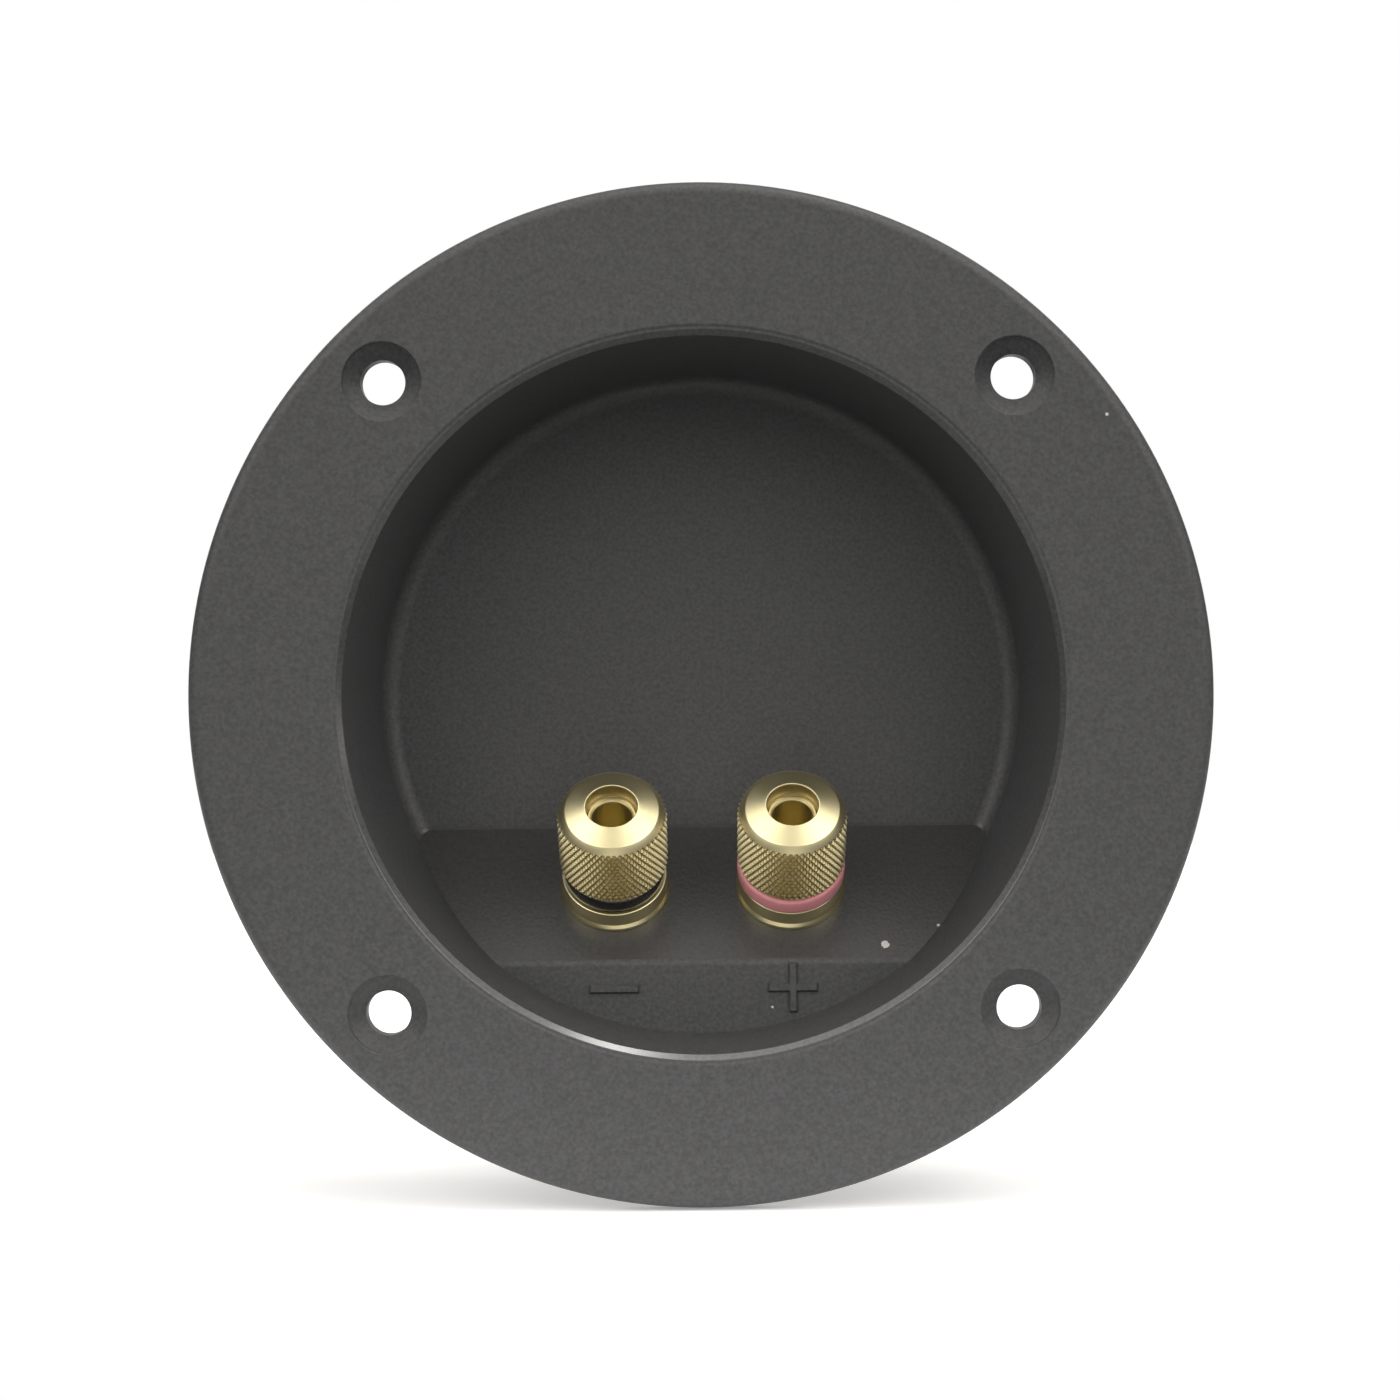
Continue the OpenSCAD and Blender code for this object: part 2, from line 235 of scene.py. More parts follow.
# %% Sizes of the cup
FLANGE_R = 50.0
FLANGE_T = 4.0
RIM_ROUND = 1.2
REAR_BREAK = 0.3
MOUTH_R = 35.0
LIP_W, LIP_H = 1.0, 0.12
LIP_SLOPE = [(0.15, 0.0), (0.03, -0.02), (-0.05, -0.06), (-0.15, 0.01 - LIP_H), (-0.25, -LIP_H)]
LIP_CHAMFER = 0.65
LIP_BREAK = 0.15
CHAMFER_LEAN = 0.02
WALL_T = 2.5
CORNER_ROUND = 1.8
REAR_ROUND = 2.5
DRAFT = math.radians(5.5)
ROUND_STEPS = 256

lip_z = FLANGE_T - LIP_H
lip_x = MOUTH_R + LIP_W
chamfer_z = lip_z - LIP_CHAMFER
corner_z = FLOOR_Z + CORNER_ROUND
wall_low = MOUTH_R - (chamfer_z - corner_z) * math.tan(DRAFT)
corner_x = wall_low - CORNER_ROUND / math.cos(DRAFT)
rear_z = FLOOR_Z - WALL_T
spigot_r = MOUTH_R + WALL_T
print("wall radius at the mouth and the floor:", MOUTH_R, round(wall_low, 2))

# %% Profile of the cup without its step
draft_deg = math.degrees(DRAFT)
outside = [(0, rear_z)]
outside += arc((spigot_r - REAR_ROUND, rear_z + REAR_ROUND), REAR_ROUND, -90, 0)
outside += [(spigot_r, -REAR_BREAK), (spigot_r + REAR_BREAK, 0)]
outside += [(FLANGE_R - REAR_BREAK, 0), (FLANGE_R, REAR_BREAK)]
outside += arc((FLANGE_R - RIM_ROUND, FLANGE_T - RIM_ROUND), RIM_ROUND, 0, 90)
inside = [(lip_x + x, FLANGE_T + z) for x, z in LIP_SLOPE]
chamfer_top = (MOUTH_R + LIP_CHAMFER - CHAMFER_LEAN, lip_z - LIP_BREAK)
inside += arc(chamfer_top, LIP_BREAK, 90, 135, 4)
inside += arc((MOUTH_R + LIP_BREAK, chamfer_z), LIP_BREAK, 135, 180 - draft_deg, 4)
inside += arc((corner_x, corner_z), CORNER_ROUND, -draft_deg, -90)
inside += [(0, FLOOR_Z)]
cup = new_object("cup_moulding", *skin(rings(outside + inside, ROUND_STEPS)))
print("cup without its step:", len(cup.data.polygons), "faces")

# %% [markdown]
# The step isn't round, so it comes from exact Booleans: a plug of plastic is cut to the step's slope and
# joined to the wall, and the space behind the step is then cut away, which leaves a skin of even
# thickness as in a real moulding. Each Boolean is a modifier whose result becomes the new mesh. The
# cutting blocks reach well past the cup, because faces that only just meet are what makes Booleans fail.

# %% Helpers for exact Booleans
BLOCK_HALF = 60.0


def boolean(target, operation, other):
    """Applies one Boolean to the target and throws the other object away."""
    step = target.modifiers.new("step", "BOOLEAN")
    step.operation, step.solver, step.object = operation, "EXACT", other
    made = evaluated(target)
    target.modifiers.remove(step)
    target.data = made
    bpy.data.objects.remove(other)


def prism(name, outline):
    """A block right across the cup, from an outline in its side view of (y, z) points."""
    ends = [[(x, y, z) for y, z in outline] for x in (-BLOCK_HALF, BLOCK_HALF)]
    n = len(outline)
    faces = [tuple(range(n)), tuple(range(2 * n - 1, n - 1, -1))]
    faces += [(i, n + i, n + (i + 1) % n, (i + 1) % n) for i in range(n)]
    block = new_object(name, ends[0] + ends[1], faces)
    made = bmesh.new()
    made.from_mesh(block.data)
    bmesh.ops.recalc_face_normals(made, faces=made.faces)
    made.to_mesh(block.data)
    made.free()
    return block


print("cutting blocks are", 2 * BLOCK_HALF, "mm wide")

# %% Cut the step and join it to the cup
SHELF_ROUND = 1.0
FAR = 70.0
PAST = 1.0
PLUG_TOP = -2.0


def step_line(back):
    """The step in the side view, from the ledge to below the floor, moved back by some thickness."""
    half = math.tan(SHELF_ANGLE / 2)
    crease_y, crease_z = LEDGE_Y - back * half, LEDGE_Z - back
    low = FLOOR_Z - back - PAST
    top = (crease_y - SHELF_ROUND * half, crease_z - SHELF_ROUND)
    foot = (crease_y + (crease_z - low) / math.tan(SHELF_ANGLE), low)
    bend = arc(top, SHELF_ROUND, 90, 90 - math.degrees(SHELF_ANGLE), 10)
    return [(-FAR, crease_z)] + bend + [foot]


plug_r = MOUTH_R + WALL_T / 2
plug_z = FLOOR_Z - WALL_T / 2
plug_profile = [(0, plug_z), (corner_x, plug_z), (plug_r, corner_z), (plug_r, PLUG_TOP), (0, PLUG_TOP)]
plug = new_object("plug", *skin(rings(plug_profile, ROUND_STEPS)))
front_of_step = step_line(0.0) + [(FAR, FLOOR_Z - PAST), (FAR, FAR), (-FAR, FAR)]
boolean(plug, "DIFFERENCE", prism("front", front_of_step))
boolean(cup, "UNION", plug)
behind_step = step_line(WALL_T) + [(-FAR, FLOOR_Z - WALL_T - PAST)]
boolean(cup, "DIFFERENCE", prism("behind", behind_step))
print("cup with its step:", len(cup.data.polygons), "faces")

# %% [markdown]
# ## Holes in the cup
#
# Each screw hole has a shallow recess with a cone, so that the screw's head lies below the face. Each
# post hole has two flats, which keep the post from turning while its nut is tightened. Both are stacks
# of rings again, used as cutters. The edges of the recesses get a tiny break, as a mould leaves it.

# %% Screw recesses
SCREW_SHARE = 0.59
SCREW_HOLE_R, RECESS_R = 2.2, 3.8
CONE_LOW, CONE_TOP = 2.3, 3.36
CONE_BREAK, MOULD_BREAK = 0.1, 0.12
RECESS_STEPS = 64

screw_r = lip_x + SCREW_SHARE * (FLANGE_R - RIM_ROUND - lip_x)
recess = [(0, -PAST), (SCREW_HOLE_R, -PAST), (SCREW_HOLE_R, CONE_LOW)]
recess += [(RECESS_R - CONE_BREAK, CONE_TOP), (RECESS_R, CONE_TOP + 0.8 * CONE_BREAK)]
recess += [(RECESS_R, FLANGE_T - MOULD_BREAK), (RECESS_R + MOULD_BREAK, FLANGE_T)]
recess += [(RECESS_R + MOULD_BREAK, FLANGE_T + PAST), (0, FLANGE_T + PAST)]
recess_points, recess_faces = skin(rings(recess, RECESS_STEPS))
for quarter in range(4):
    around = math.radians(45 + 90 * quarter)
    centre = [screw_r * math.cos(around), screw_r * math.sin(around), 0]
    boolean(cup, "DIFFERENCE", new_object("screw_cutter", recess_points + centre, recess_faces))
print("screw circle in mm:", round(2 * screw_r, 2))

# %% Post holes
HOLE_R, HOLE_FLATS = 3.3, 5.4
HOLE_REACH = 6.0
HOLE_STEPS = 96
LEAST = 1e-6


def flats(radius, across, columns):
    """Radius of a round bar with two flats, for each column."""
    return np.minimum(radius, across / 2 / np.maximum(np.abs(np.cos(turns(columns))), LEAST))


hole = flats(HOLE_R, HOLE_FLATS, HOLE_STEPS)
hole_sides = [ring(hole, z, HOLE_STEPS) for z in (-HOLE_REACH, HOLE_REACH)]
hole_ends = rings([(0, -HOLE_REACH), (0, HOLE_REACH)], HOLE_STEPS)
hole_stack = [hole_ends[0]] + hole_sides + [hole_ends[1]]
for side in SIDES:
    cutter = new_object("post_cutter", *skin(hole_stack))
    cutter.data.transform(post_on_front(side))
    boolean(cup, "DIFFERENCE", cutter)
settle(cup, front_drawing, "terminal_cup", "cup_plastic", "cup")

# %% [markdown]
# ## Polarity signs
#
# A raised minus and plus on the ledge tell which post is which. They are part of the moulding, so they
# wear its finish. Three copies of an outline are stacked and skinned: two make the side, and the third
# is a little smaller and higher, which breaks the upper edges. Bump could only shade such a sign. Real
# height also gives it an outline and a shadow.

# %% Raise the signs on the ledge
SIGN_Y = -29.5
SIGN_H, SIGN_SUNK = 0.38, 0.3
BAR = 2.5
HALF_W = 0.45
EDGE_BREAK = 0.22
EDGE_IN = EDGE_BREAK / math.sqrt(2)

minus = [(-BAR, -HALF_W), (BAR, -HALF_W), (BAR, HALF_W), (-BAR, HALF_W)]
plus = [(HALF_W, -BAR), (HALF_W, -HALF_W), (BAR, -HALF_W)]
plus += [(BAR, HALF_W), (HALF_W, HALF_W), (HALF_W, BAR)]
plus += [(-x, -y) for x, y in plus]


def raised_sign(name, outline, x):
    """A sign with broken upper edges, sunk a little into the ledge."""
    sign_top = LEDGE_Z + SIGN_H
    levels = [(0, LEDGE_Z - SIGN_SUNK), (0, sign_top - EDGE_BREAK), (EDGE_IN, sign_top)]
    stack = [np.array([(x + px - math.copysign(inwards, px), SIGN_Y + py - math.copysign(inwards, py), z)
                       for px, py in outline]) for inwards, z in levels]
    points, faces = skin(stack)
    n = len(outline)
    faces += [tuple(range(n - 1, -1, -1)), tuple(range(2 * n, 3 * n))]
    return settle(new_object(name, points, faces), front_drawing, "terminal_cup", "cup_plastic")


raised_sign("negative_sign", minus, -POST_X)
raised_sign("positive_sign", plus, POST_X)

# %% [markdown]
# ## Threads
#
# The CAD threads are plain cylinders. Here they get their ridges, because they show behind each nut, and
# on the stud when a knob is unscrewed. The radius of a ring follows a wave that moves round by one turn
# for each pitch. Stud and knob use the same wave with a small gap, so the ridges stay in their grooves
# however far the knob is turned, as long as it climbs one pitch a turn. A thread may open into a 45
# degree mouth, as a countersunk nut does, so that its last ridge runs out clear of the stud.

# %% Rings of a thread
TURNED = 112
CREST, ROOT_END = 0.25, 0.735
STUD_PITCH, STUD_ROWS = 1.0, 12
STUD_ROOT, STUD_CREST = 2.45, 2.87
REAR_PITCH, REAR_ROWS = 0.8, 10
REAR_ROOT, REAR_CREST = 2.06, 2.46
THREAD_GAP = 0.05


def thread(heights, root, crest, pitch, columns, mouth=(0, 0)):
    """Rings whose radius runs from root to crest along a right-handed helix, out to a 45 degree mouth."""
    share = np.arange(columns) / columns
    stack = []
    for z in heights:
        phase = (z / pitch - share) % 1
        away = np.abs(2 * phase - 1)
        ridge = np.clip((ROOT_END - away) / (ROOT_END - CREST), 0, 1)
        least = mouth[0] - abs(z - mouth[1])
        stack.append(ring(np.maximum(root + (crest - root) * ridge, least), z, columns))
    return stack


def between(start, end, step):
    """Even heights from start to end, about a step apart."""
    return np.linspace(start, end, max(2, round(abs(end - start) / step) + 1))


print("rings for 1 mm of stud thread:", len(between(0, 1, STUD_PITCH / STUD_ROWS)))

# %% [markdown]
# ## The posts
#
# A post is turned from one bar: a rear thread, a shank with two flats, a foot and neck that bear on the
# shelf, and a threaded stud with a bore for a 4 mm plug. The profile is followed from the rear end up
# the outside, over the stud's end, and down into the bore. Each edge has a small chamfer or rounding,
# because those thin bright lines are what tells the eye that it is machined metal.

# %% Rear half of a post
THREAD_END, END_R, END_CHAMFER = -10.9, 1.7, 0.4
SHANK_R, SHANK_FLATS = 3.2, 5.2
SHANK_LOW, SHANK_BREAK = -2.2, 0.15
FOOT_R, NECK_R = 5.6, 5.35
SEAT, SEAT_ROUND = 2.5, 0.12

post_stack = rings([(0, THREAD_END), (END_R, THREAD_END), (REAR_ROOT, THREAD_END + END_CHAMFER)], TURNED)
rear_heights = between(THREAD_END + END_CHAMFER + 0.05, SHANK_LOW - 0.4, REAR_PITCH / REAR_ROWS)
post_stack += thread(rear_heights, REAR_ROOT, REAR_CREST, REAR_PITCH, TURNED)
post_stack += rings([(REAR_ROOT, SHANK_LOW - 0.3), (REAR_ROOT, SHANK_LOW)], TURNED)
shank = flats(SHANK_R, SHANK_FLATS, TURNED)
post_stack += [ring(shank - SHANK_BREAK, SHANK_LOW, TURNED)]
post_stack += [ring(shank, z, TURNED) for z in (SHANK_LOW + SHANK_BREAK, 0)]
foot_edge = [(FOOT_R - 0.05, 0), (FOOT_R, 0.05), (FOOT_R, 0.38), (FOOT_R - 0.02, 0.43)]
neck = [(NECK_R + 0.01, 0.66), (NECK_R - 0.02, 0.72), (NECK_R, 0.8), (NECK_R, SEAT - 0.2)]
neck += arc((NECK_R - SEAT_ROUND, SEAT - SEAT_ROUND), SEAT_ROUND, 0, 90, 4)
post_stack += rings(foot_edge + neck, TURNED)
print("rings up to the seat:", len(post_stack))

# %% Stud and bore, and the two posts
STUD_TOP, STUD_END_R = 11.75, 2.4
BORE_R, BORE_BREAK = 2.05, 0.15
BORE_END, DRILL_TIP = 1.25, 0.4

stud_foot = [(STUD_CREST + 0.03, SEAT), (STUD_ROOT + 0.05, SEAT + 0.02)]
stud_foot += [(STUD_ROOT, SEAT + 0.1), (STUD_ROOT, SEAT + 0.5)]
stud_heights = between(SEAT + 0.6, STUD_TOP - 0.45, STUD_PITCH / STUD_ROWS)
stud_end = [(STUD_ROOT, STUD_TOP - 0.36), (STUD_ROOT - 0.02, STUD_TOP - 0.1), (STUD_END_R, STUD_TOP)]
plug_bore = [(BORE_R + BORE_BREAK, STUD_TOP), (BORE_R, STUD_TOP - BORE_BREAK)]
plug_bore += [(BORE_R, BORE_END), (0, DRILL_TIP)]
post_stack += rings(stud_foot, TURNED)
post_stack += thread(stud_heights, STUD_ROOT, STUD_CREST, STUD_PITCH, TURNED)
post_stack += rings(stud_end + plug_bore, TURNED)
for side in SIDES:
    post = new_object(f"{side}_turned_post", *skin(post_stack))
    settle(post, post_drawing(side), "terminal_cup", "gold_plate", f"{side}_post")

# %% [markdown]
# ## The knobs
#
# A clamping knob is the piece that fingers hold, so its barrel has a diamond knurl: two sets of helical
# grooves that cross and leave rows of small pyramids. Displacing a fine cylinder would round them off.
# So the grid of points is laid out to match: eight columns to a ridge, and rows at the height where the
# grooves run exactly through the corners of the grid. Each small square is then folded along the
# diagonal that a groove or an edge follows, and every pyramid comes out crisp, with its tip pressed flat.

# %% Lay out the diamond knurl
RIDGES = 56
PER_RIDGE = 8
TIP_R, VALLEY_R = 5.5, 5.2
KNURL_LOW, KNURL_HIGH = 4.82, 12.3
EDGE_R = 5.3
KNURL_SLOPE = math.radians(30)
FLAT_TIP = 0.75
knurl_columns = RIDGES * PER_RIDGE
row_h = 2 * math.pi * TIP_R / knurl_columns / math.tan(KNURL_SLOPE)
knurl_rows = round((KNURL_HIGH - KNURL_LOW) / row_h)


def knurl_height(column, row):
    """0 in a groove and 1 on a flat tip, for two crossing sets of grooves."""
    half = PER_RIDGE / 2
    waves = [np.abs(k % PER_RIDGE - half) / half for k in (column + row, column - row)]
    return np.minimum(np.minimum(*waves), FLAT_TIP) / FLAT_TIP


column, row = np.meshgrid(np.arange(knurl_columns), np.arange(knurl_rows + 1))
heights = knurl_height(column, row)
middle = knurl_height(column[:-1] + 0.5, row[:-1] + 0.5)
right = np.roll(heights, -1, axis=1)
along = np.abs((heights[:-1] + right[1:]) / 2 - middle)
across = np.abs((right[:-1] + heights[1:]) / 2 - middle)
knurl_folds = along < across
knurl_z = np.linspace(KNURL_LOW, KNURL_HIGH, knurl_rows + 1)
run_out = np.minimum(knurl_z - KNURL_LOW, KNURL_HIGH - knurl_z) + EDGE_R
knurl_r = np.minimum(VALLEY_R + (TIP_R - VALLEY_R) * heights, run_out[:, None])
print("knurl:", knurl_columns, "columns,", knurl_rows, "rows")

# %% [markdown]
# The cap is a shallow cone with a rounded edge, above a chamfer that the knurl runs out into. A smooth
# hole in its middle lets the plug through, and the thread begins below it. The knob's rings run up the
# outside, over the cap and down through the thread to its countersunk foot, where the stack closes. Only
# the knurl has the fine columns. A second attribute marks its grooves and the bore, where plating is
# duller, and where the finish darkens the colour as painted shade.

# %% Profile of the foot and the cap
KNOB_LOW, KNOB_TOP = 2.55, 13.55
KNOB_MOUTH_R = 3.0
HUB_R, HUB_TOP, HUB_BREAK = 4.15, 4.5, 0.1
SHOULDER, SHOULDER_X, SHOULDER_Z = 0.4, 4.5, 12.55
CAP_HOLE_R, HOLE_LOW = 2.58, 11.9

knob_foot = [(KNOB_MOUTH_R, KNOB_LOW), (HUB_R - HUB_BREAK, KNOB_LOW), (HUB_R, KNOB_LOW + HUB_BREAK)]
knob_foot += [(HUB_R, HUB_TOP), (EDGE_R - 0.25, HUB_TOP), (EDGE_R - 0.03, KNURL_LOW - 0.08)]
cone_top = (CAP_HOLE_R + 0.18, KNOB_TOP - 0.02)
cone = Vector((cone_top[0] - SHOULDER_X, cone_top[1] - SHOULDER_Z))
cap_turn = math.degrees(math.atan2(cone.y, cone.x) - math.acos(SHOULDER / cone.length))
cap = [(EDGE_R - 0.03, KNURL_HIGH + 0.03)]
cap += arc((SHOULDER_X, SHOULDER_Z), SHOULDER, 45, cap_turn, 6)
cap += [cone_top, (CAP_HOLE_R + 0.12, KNOB_TOP), (CAP_HOLE_R + 0.06, KNOB_TOP - 0.01)]
cap_side = len(cap)
cap += [(CAP_HOLE_R + 0.01, KNOB_TOP - 0.06), (CAP_HOLE_R, KNOB_TOP - 0.14), (CAP_HOLE_R, HOLE_LOW)]
cap += [(STUD_ROOT + THREAD_GAP, HOLE_LOW - 0.1)]
print("slope of the cap:", round(90 - cap_turn, 1), "degrees")

# %% Make the two knobs
knob_stack = rings(knob_foot, TURNED)
first_row = len(knob_stack)
first_point = first_row * TURNED
knob_stack += [ring(knurl_r[k], knurl_z[k], knurl_columns) for k in range(knurl_rows + 1)]
knob_stack += rings(cap, TURNED)
bore_heights = between(HOLE_LOW - 0.2, KNOB_LOW + 0.05, STUD_PITCH / STUD_ROWS)
knob_stack += thread(bore_heights, STUD_ROOT + THREAD_GAP, STUD_CREST + THREAD_GAP, STUD_PITCH, TURNED,
                     mouth=(KNOB_MOUTH_R, KNOB_LOW))
folds = {first_row + k: knurl_folds[k] for k in range(knurl_rows)}
knob_points, knob_faces = skin(knob_stack, loop=True, folds=folds)

# Painted shade mask: 1 down the knurl's grooves and through the hole and bore, where the gold finish
# darkens the colour.
grooves = np.zeros(len(knob_points), np.float32)
grooves[first_point:first_point + heights.size] = 1 - heights.ravel()
grooves[first_point + heights.size + cap_side * TURNED:] = 1
for side in SIDES:
    knob = new_object(f"{side}_knurled_knob", knob_points, knob_faces)
    knob.data.attributes.new("groove", "FLOAT", "POINT").data.foreach_set("value", grooves)
    settle(knob, post_drawing(side), f"{side}_knob", "gold_plate", f"{side}_knob")

# %% [markdown]
# ## The colour rings
#
# A black and a red plastic ring sit under the knobs and show the polarity. The black one is a little
# smaller, so only a thin dark line of it shows. They are moulded, so their edges are well rounded and
# the side is very slightly crowned. A lathe profile closed in a loop is all that they need.

# %% Mould the two colour rings
RING_LOW, RING_TOP = 2.55, 4.45
RING_HOLE_R = 4.2
RING_ROUND, RING_CROWN, RING_BREAK = 0.38, 0.02, 0.08
COLOUR_RINGS = [("negative", 5.1, "black_ring"), ("positive", 5.5, "red_ring")]


def ring_profile(radius):
    """Section of a colour ring, from its hole round the outside and back."""
    edge_x = radius - RING_ROUND - RING_CROWN
    profile = [(RING_HOLE_R, RING_LOW + RING_BREAK), (RING_HOLE_R + RING_BREAK, RING_LOW)]
    profile += arc((edge_x, RING_LOW + RING_ROUND), RING_ROUND, -90, -6)
    profile += [(radius, (RING_LOW + RING_TOP) / 2)]
    profile += arc((edge_x, RING_TOP - RING_ROUND), RING_ROUND, 6, 90)
    return profile + [(RING_HOLE_R + RING_BREAK, RING_TOP), (RING_HOLE_R, RING_TOP - RING_BREAK)]


for side, radius, slot in COLOUR_RINGS:
    ring_stack = rings(ring_profile(radius), TURNED)
    colour_ring = new_object(f"{side}_colour_ring", *skin(ring_stack, loop=True))
    settle(colour_ring, post_drawing(side), f"{side}_ring", slot, f"{side}_ring")

# %% [markdown]
# ## Behind the shelf: washers and nuts
#
# On the back each post is held by a flat washer, a solder tag, a spring washer and a nut. A stamped
# washer has one rounded face and one with sharper edges. The spring washer is a rectangular bar bent
# round, with a slanted gap, so its section is swept along most of a turn and closed at both ends. The
# nut is a stack of rings whose radius follows a hexagon, limited by a cone at each end for the bevel.

# %% Sections of the washers
WASHER_R, WASHER_HOLE_R = 5.0, 2.65
WASHER_LOW, WASHER_TOP = -3.5, -2.5
STAMPED_BREAK, STAMPED_ROUND = 0.08, 0.25
LOCK_R, LOCK_HOLE_R = 4.2, 2.55
LOCK_LOW, LOCK_TOP = -5.3, -4.1
LOCK_BREAK = 0.1

washer_profile = [(WASHER_HOLE_R, WASHER_LOW + STAMPED_BREAK), (WASHER_HOLE_R + STAMPED_BREAK, WASHER_LOW)]
washer_profile += [(WASHER_R - STAMPED_BREAK, WASHER_LOW), (WASHER_R, WASHER_LOW + STAMPED_BREAK)]
washer_profile += arc((WASHER_R - STAMPED_ROUND, WASHER_TOP - STAMPED_ROUND), STAMPED_ROUND, 0, 90, 5)
washer_profile += [(WASHER_HOLE_R + STAMPED_BREAK, WASHER_TOP), (WASHER_HOLE_R, WASHER_TOP - STAMPED_BREAK)]
bar = [(LOCK_HOLE_R, LOCK_LOW + LOCK_BREAK), (LOCK_HOLE_R + LOCK_BREAK, LOCK_LOW)]
bar += [(LOCK_R - LOCK_BREAK, LOCK_LOW), (LOCK_R, LOCK_LOW + LOCK_BREAK)]
bar += [(LOCK_R, LOCK_TOP - LOCK_BREAK), (LOCK_R - LOCK_BREAK, LOCK_TOP)]
bar += [(LOCK_HOLE_R + LOCK_BREAK, LOCK_TOP), (LOCK_HOLE_R, LOCK_TOP - LOCK_BREAK)]
print("points of the two sections:", len(washer_profile), len(bar))

# %% Make the washers
LOCK_GAP = 0.8
LOCK_SLANT = math.radians(30)
LOCK_STEPS = 96
lock_mid = (LOCK_R + LOCK_HOLE_R) / 2
half_gap = LOCK_GAP / 2 / math.cos(LOCK_SLANT) / lock_mid
lean = math.tan(LOCK_SLANT) / lock_mid


def spring_washer(name):
    """The bar's section at each step of the sweep, leaning with its height, and closed at both ends."""
    sweep = np.linspace(-math.pi / 2 + half_gap, 1.5 * math.pi - half_gap, LOCK_STEPS + 1)
    points = []
    for turn in sweep:
        for r, z in bar:
            lent = turn + lean * (z - (LOCK_LOW + LOCK_TOP) / 2)
            points.append((r * math.cos(lent), r * math.sin(lent), z))
    n = len(bar)
    faces = [tuple(range(n)), tuple(len(points) - 1 - k for k in range(n))]
    for k in range(LOCK_STEPS):
        for i in range(n):
            a, b = k * n + i, k * n + (i + 1) % n
            faces.append((a, a + n, b + n, b))
    return new_object(name, points, faces)


for side in SIDES:
    flat = new_object(f"{side}_flat_washer", *skin(rings(washer_profile, TURNED), loop=True))
    settle(flat, post_drawing(side), "terminal_cup", "zinc_plate", f"{side}_washer")
    spring = spring_washer(f"{side}_spring_washer")
    settle(spring, post_drawing(side), "terminal_cup", "zinc_plate", f"{side}_lock_washer")

# %% Nuts
NUT_LOW, NUT_TOP = -9.3, -5.3
NUT_FLAT_R, NUT_FACE = 4.0, 0.05
NUT_STEPS, NUT_ROWS, BEVEL_ROWS = 96, 8, 7
NUT_BEVEL = math.tan(math.radians(30))
NUT_MOUTH, NUT_THREAD_IN = 0.15, 0.35

hexagon = NUT_FLAT_R / np.cos((turns(NUT_STEPS) + np.pi / 6) % (np.pi / 3) - np.pi / 6)
bevel_depths = np.linspace(0, (hexagon.max() - NUT_FLAT_R) * NUT_BEVEL, BEVEL_ROWS)
bevel = [np.minimum(hexagon, NUT_FLAT_R - NUT_FACE + depth / NUT_BEVEL) for depth in bevel_depths]
rows = list(zip(bevel, bevel_depths))
nut_stack = [ring(REAR_CREST + NUT_MOUTH, NUT_LOW, NUT_STEPS)]
nut_stack += [ring(r, NUT_LOW + depth, NUT_STEPS) for r, depth in rows]
nut_stack += [ring(r, NUT_TOP - depth, NUT_STEPS) for r, depth in rows[::-1]]
nut_stack += [ring(REAR_CREST + NUT_MOUTH, NUT_TOP, NUT_STEPS)]
nut_heights = between(NUT_TOP - NUT_THREAD_IN, NUT_LOW + NUT_THREAD_IN, REAR_PITCH / NUT_ROWS)
nut_stack += thread(nut_heights, REAR_ROOT + THREAD_GAP, REAR_CREST + THREAD_GAP, REAR_PITCH, NUT_STEPS)
for side in SIDES:
    nut = new_object(f"{side}_hex_nut", *skin(nut_stack, loop=True))
    settle(nut, post_drawing(side), "terminal_cup", "gold_plate", f"{side}_nut")

# %% [markdown]
# ## The solder tags
#
# A tag is stamped from thin tinned brass and bent. A flat curve of straight stretches with two inner
# loops makes the blank: Blender fills it, gives it thickness and rounds its edges in one go. The mesh is
# then cut across the bend a few times, and a small function wraps it round the bend's radius.

# %% Stamp the blank
TAG_LOW, TAG_T = -4.1, 0.6
TAG_R, TAG_HOLE_R = 4.5, 2.65
TAIL_HALF, EYE_R = 2.2, 1.2
BEND_Y, TAIL_L = 6.5, 7.5
BEND = math.radians(35)
BEND_R = 0.5
TAG_EDGE = 0.06
TAG_STEPS, EYE_STEPS = 48, 24

bend_start = BEND_Y - BEND_R * math.tan(BEND / 2)
tail_start = bend_start + BEND_R * BEND
tail_end = tail_start + TAIL_L - BEND_R * math.tan(BEND / 2)
eye_y = tail_end - TAIL_HALF


def circle(centre, radius, count):
    """A closed loop of points, which doesn't repeat its first one."""
    return arc(centre, radius, 0, 360 - 360 / count, count - 1)


